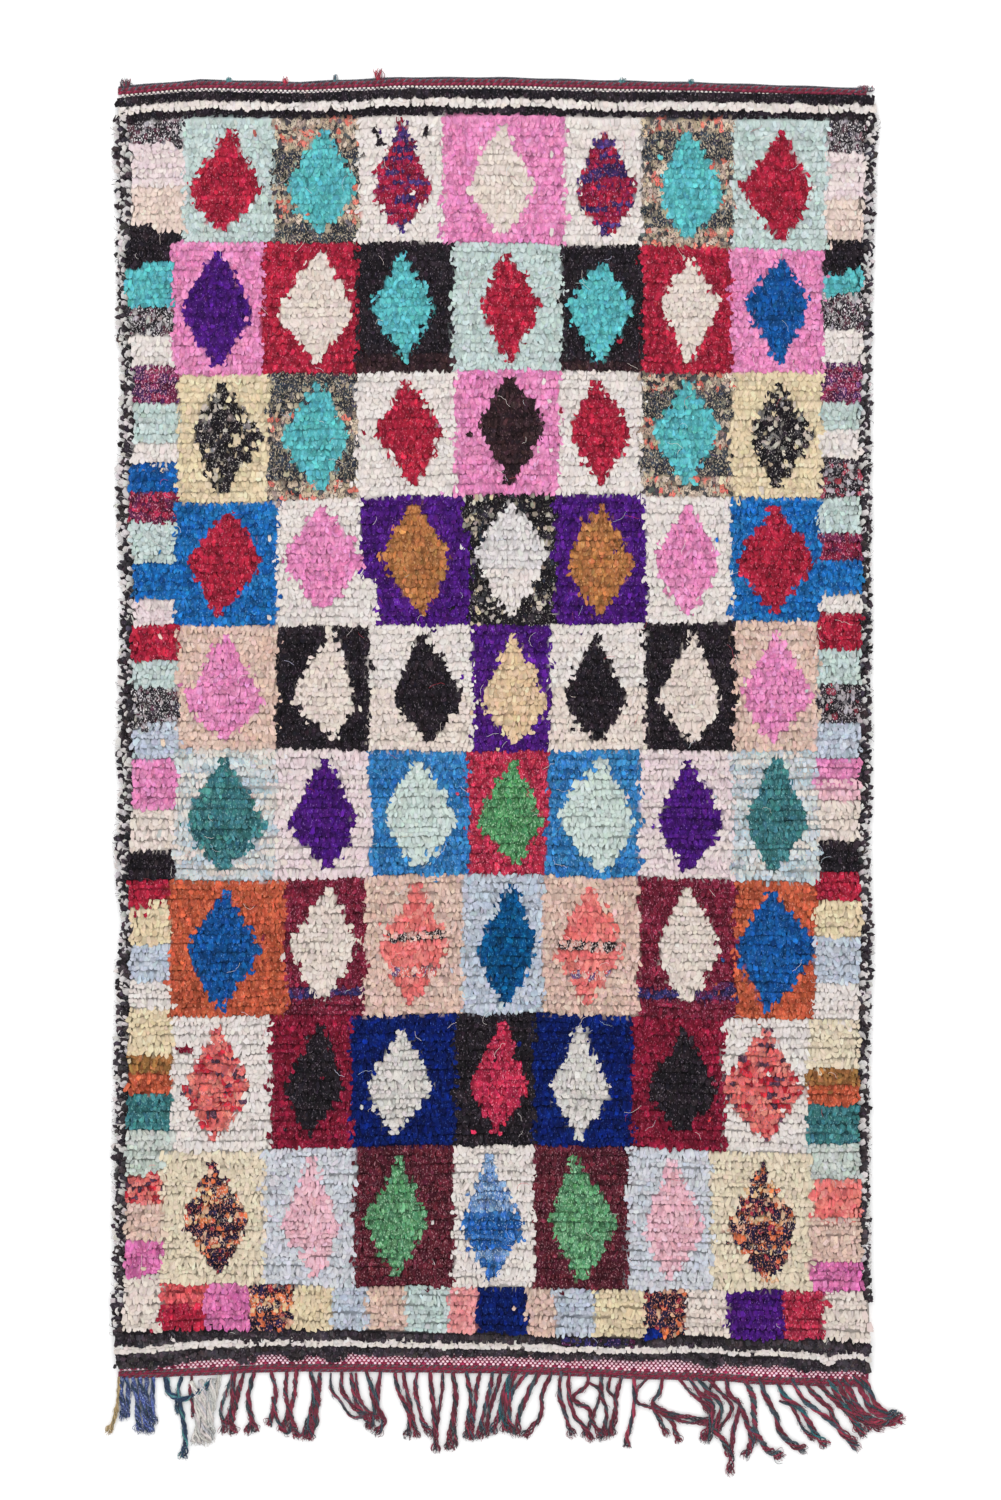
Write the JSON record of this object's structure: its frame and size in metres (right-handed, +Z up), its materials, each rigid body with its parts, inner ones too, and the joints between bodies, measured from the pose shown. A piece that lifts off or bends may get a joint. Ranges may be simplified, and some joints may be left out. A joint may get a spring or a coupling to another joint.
{
  "type": "boucherouite rug",
  "caption": "Hand-knotted rag-pile rug, rectangular, with a patchwork of squares and lozenges, tufted side edges, twined end cords and a loose fringe at its foot.",
  "frame": {"origin": "middle of the cloth between its two end cords, on the flat underside", "axes": "+Y along the rug towards the end without a fringe, +X to the right seen from above, +Z up out of the pile"},
  "size_m": [1.3921, 2.4265, 0.02],
  "materials": {
    "rag_pile": "matt rag pile in many colours",
    "selvedge_yarn": "matt black yarn flecked with white",
    "head_cord_yarn": "twined dark red and slate yarn",
    "fringe_yarn": "plied dark red and slate yarn"
  },
  "bodies": {
    "root": {"knotted_body": "rag_pile", "selvedge_left": "selvedge_yarn", "selvedge_right": "selvedge_yarn", "head_cord": "head_cord_yarn", "fringe": "fringe_yarn"}
  },
  "joints": []
}
